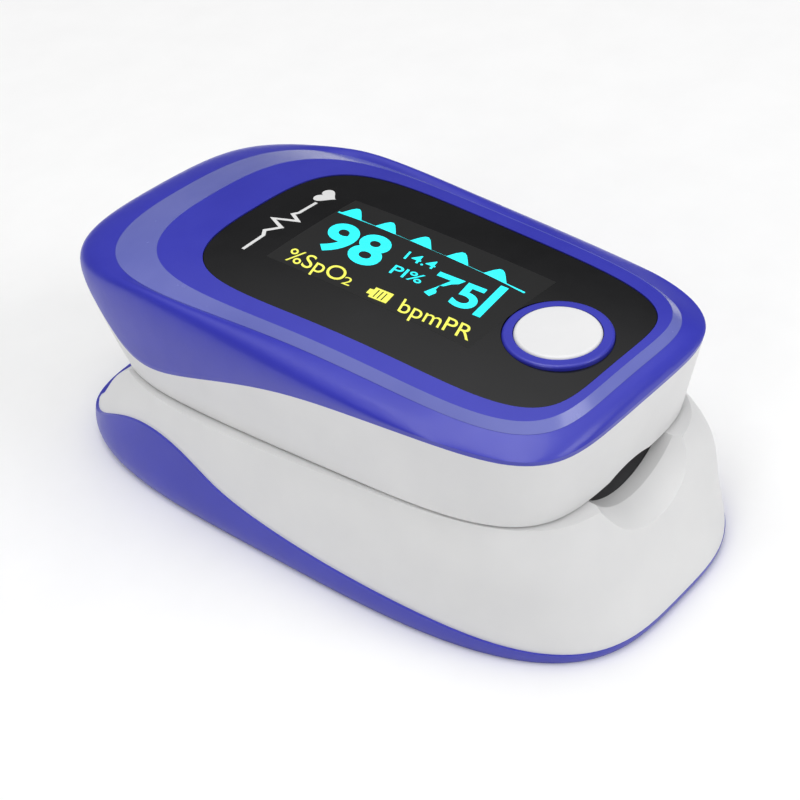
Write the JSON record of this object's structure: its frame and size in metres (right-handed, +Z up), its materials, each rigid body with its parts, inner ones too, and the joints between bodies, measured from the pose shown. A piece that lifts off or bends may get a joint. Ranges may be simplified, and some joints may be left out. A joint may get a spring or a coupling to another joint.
{
  "type": "fingertip pulse oximeter",
  "caption": "Clip-on fingertip pulse oximeter with a crowned display, a round power button, soft finger pads and a sprung jaw.",
  "frame": {"origin": "centre of the outer box on the flat underside", "axes": "+Z up, +Y towards the hinge end, the finger goes in from -Y"},
  "size_m": [0.0388, 0.0653, 0.0238],
  "materials": {
    "cover_blue": "satin",
    "shell_white": "satin",
    "lens_black": "gloss",
    "button_white": "satin",
    "silicone": "matte",
    "board_green": "satin",
    "display_glass": "gloss",
    "chip_black": "satin",
    "sensor_clear": "gloss",
    "cell_wrap": "gloss",
    "contact_metal": "bright",
    "spring_steel": "bright",
    "flex_film": "satin"
  },
  "bodies": {
    "lower_half": {"lower_shell": "shell_white", "bottom_cover": "cover_blue", "cell_left": "cell_wrap", "cell_right": "cell_wrap", "contact_plates": "contact_metal", "contact_springs": "spring_steel", "sensor_board": "board_green", "photodiode": "chip_black", "detector_window": "sensor_clear", "lower_pad": "silicone", "hinge_pin": "spring_steel", "spring_left": "spring_steel", "spring_right": "spring_steel", "flex_cable": "flex_film"},
    "upper_jaw": {"top_cover": "cover_blue", "display_window": "lens_black", "button_bezel": "cover_blue", "tact_switch": "chip_black", "main_board": "board_green", "oled_display": "display_glass", "processor": "chip_black", "buzzer": "chip_black", "emitter": "chip_black", "emitter_window": "sensor_clear", "upper_shell": "shell_white", "upper_pad": "silicone"},
    "button": {"power_button": "button_white"},
    "door": {"battery_door": "cover_blue"}
  },
  "joints": [
    {"name": "jaw_hinge", "type": "hinge", "parent": "lower_half", "child": "upper_jaw", "pos_m": [0, 0.0228, 0.0112], "axis": [-1, 0, 0], "range_deg": [0, 20], "stiffness_Nm_per_rad": 0.15, "springref_deg": -20.05, "deforming": ["spring_left", "spring_right", "flex_cable"]},
    {"name": "button_press", "type": "slide", "parent": "upper_jaw", "child": "button", "axis": [0, 0, -1], "range_m": [0, 0.0003], "stiffness_N_per_m": 400, "springref_m": -0.0005},
    {"name": "door_slide", "type": "slide", "parent": "lower_half", "child": "door", "axis": [0, 1, 0], "range_m": [0, 0.003]}
  ]
}
